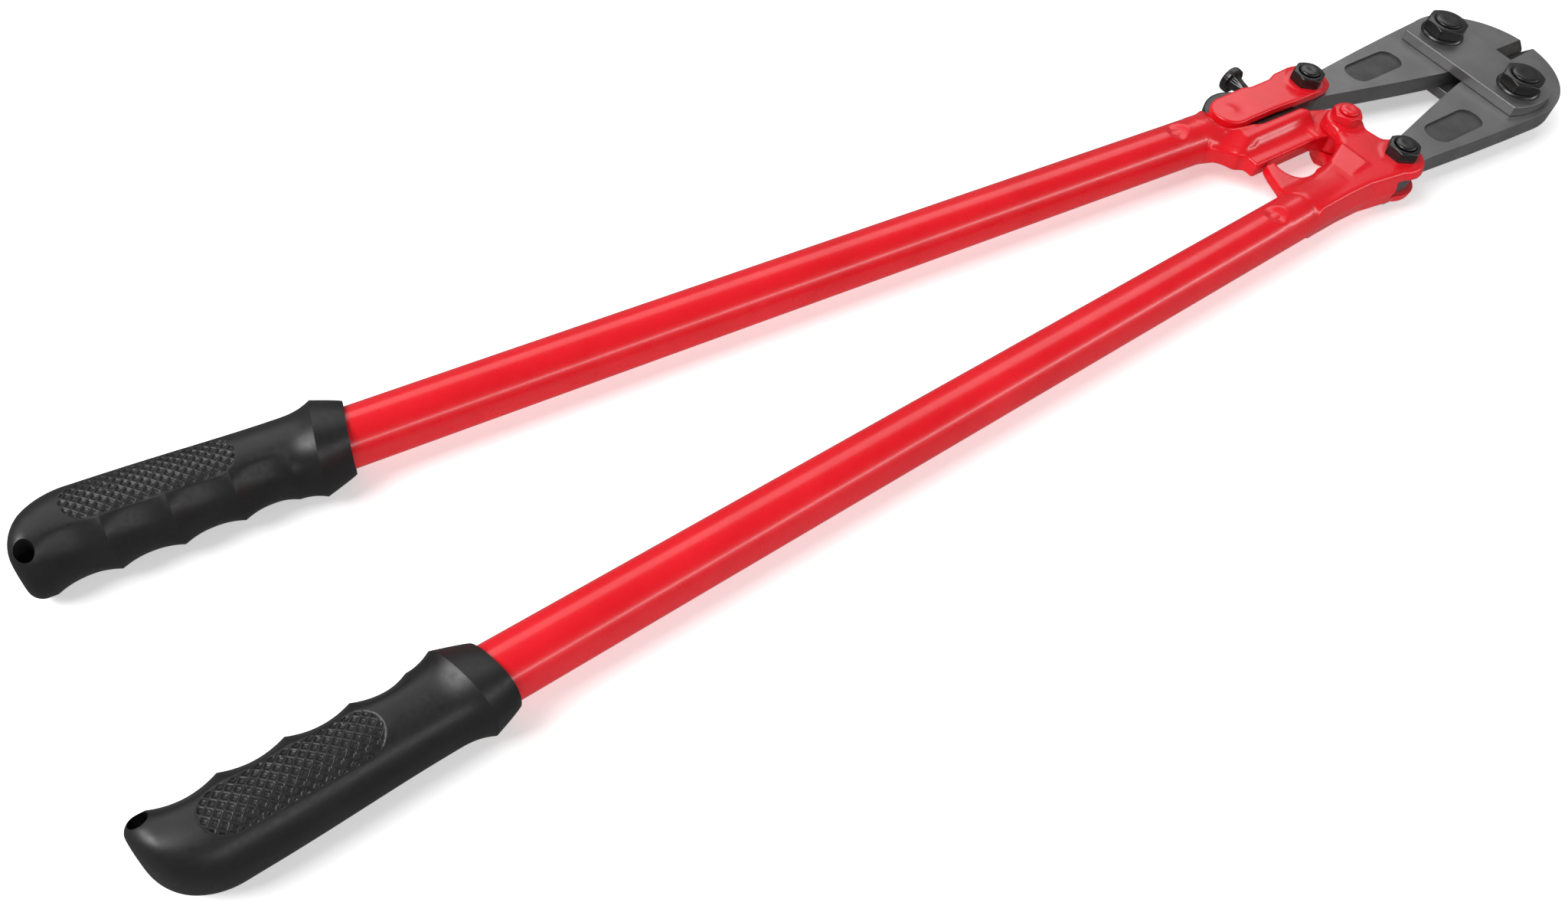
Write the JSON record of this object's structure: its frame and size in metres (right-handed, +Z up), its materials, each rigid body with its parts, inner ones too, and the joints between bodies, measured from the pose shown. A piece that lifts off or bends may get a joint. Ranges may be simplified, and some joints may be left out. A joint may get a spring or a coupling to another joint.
{
  "type": "bolt cutters",
  "caption": "Long-handled bolt cutters with compound leverage, centre-cut jaws, an adjustable left link and moulded grips, lying flat with the handles closed.",
  "frame": {"origin": "centre of the footprint, on the surface that the tool lies on", "axes": "+X from the grips to the jaw noses, +Y to the left handle, which carries the adjuster, +Z up, square to the plane the handles swing in"},
  "size_m": [0.9235, 0.1932, 0.0438],
  "materials": {
    "red_paint": "smooth bright red powder coat",
    "jaw_steel": "satin ground tool steel, darker on its edges",
    "black_oxide": "glossy black oxide",
    "grip_rubber": "matt black moulded rubber with fine grain"
  },
  "bodies": {
    "straps": {"strap_top": "jaw_steel", "strap_bottom": "jaw_steel", "jaw_bolts": "black_oxide", "jaw_nuts": "black_oxide", "jaw_washers": "black_oxide"},
    "left_jaw": {"jaw_left": "jaw_steel"},
    "right_jaw": {"jaw_right": "jaw_steel"},
    "adjuster_link": {"link_plate_top": "red_paint", "link_plate_bottom": "red_paint", "link_pin": "red_paint", "tail_bolt_left": "black_oxide", "tail_nut_left": "black_oxide"},
    "left_handle": {"head_left": "red_paint", "tube_left": "red_paint", "grip_left": "grip_rubber"},
    "cam": {"adjuster_cam": "black_oxide"},
    "thumb_screw": {"lock_screw": "black_oxide"},
    "right_handle": {"head_right": "red_paint", "tube_right": "red_paint", "grip_right": "grip_rubber", "tail_bolt_right": "black_oxide", "tail_nut_right": "black_oxide", "centre_bolt": "red_paint", "centre_nut": "red_paint"}
  },
  "joints": [
    {"name": "left_jaw_swing", "type": "hinge", "parent": "straps", "child": "left_jaw", "pos_m": [0.40444, 0.0305, 0.0205], "axis": [0, 0, 1], "range_deg": [0, 6.3]},
    {"name": "right_jaw_swing", "type": "hinge", "parent": "straps", "child": "right_jaw", "pos_m": [0.40444, -0.0305, 0.0205], "axis": [0, 0, -1], "range_deg": [0, 6.3]},
    {"name": "left_handle_swing", "type": "hinge", "parent": "left_jaw", "child": "adjuster_link", "pos_m": [0.27944, 0.038, 0.0205], "axis": [0, 0, -1], "range_deg": [0, 50]},
    {"name": "right_handle_swing", "type": "hinge", "parent": "right_jaw", "child": "right_handle", "pos_m": [0.27944, -0.038, 0.0205], "axis": [0, 0, 1], "range_deg": [0, 50]},
    {"name": "adjuster_turn", "type": "hinge", "parent": "adjuster_link", "child": "left_handle", "pos_m": [0.21544, 0.04, 0.0205], "axis": [0, 0, -1], "range_deg": [0, 1]},
    {"name": "cam_swing", "type": "hinge", "parent": "adjuster_link", "child": "cam", "pos_m": [0.21544, 0.04, 0.0205], "axis": [0, 0, 1], "range_deg": [0, 20]},
    {"name": "thumb_screw_turn", "type": "hinge", "parent": "cam", "child": "thumb_screw", "pos_m": [0.25244, 0.055, 0.0205], "axis": [0, 1, 0], "range_deg": [0, 720]}
  ],
  "couplings": [
    {"joint": "left_jaw_swing", "follows": "left_handle_swing", "ratio": 0.126},
    {"joint": "right_jaw_swing", "follows": "left_handle_swing", "ratio": 0.126},
    {"joint": "right_handle_swing", "follows": "left_handle_swing", "ratio": 1}
  ]
}
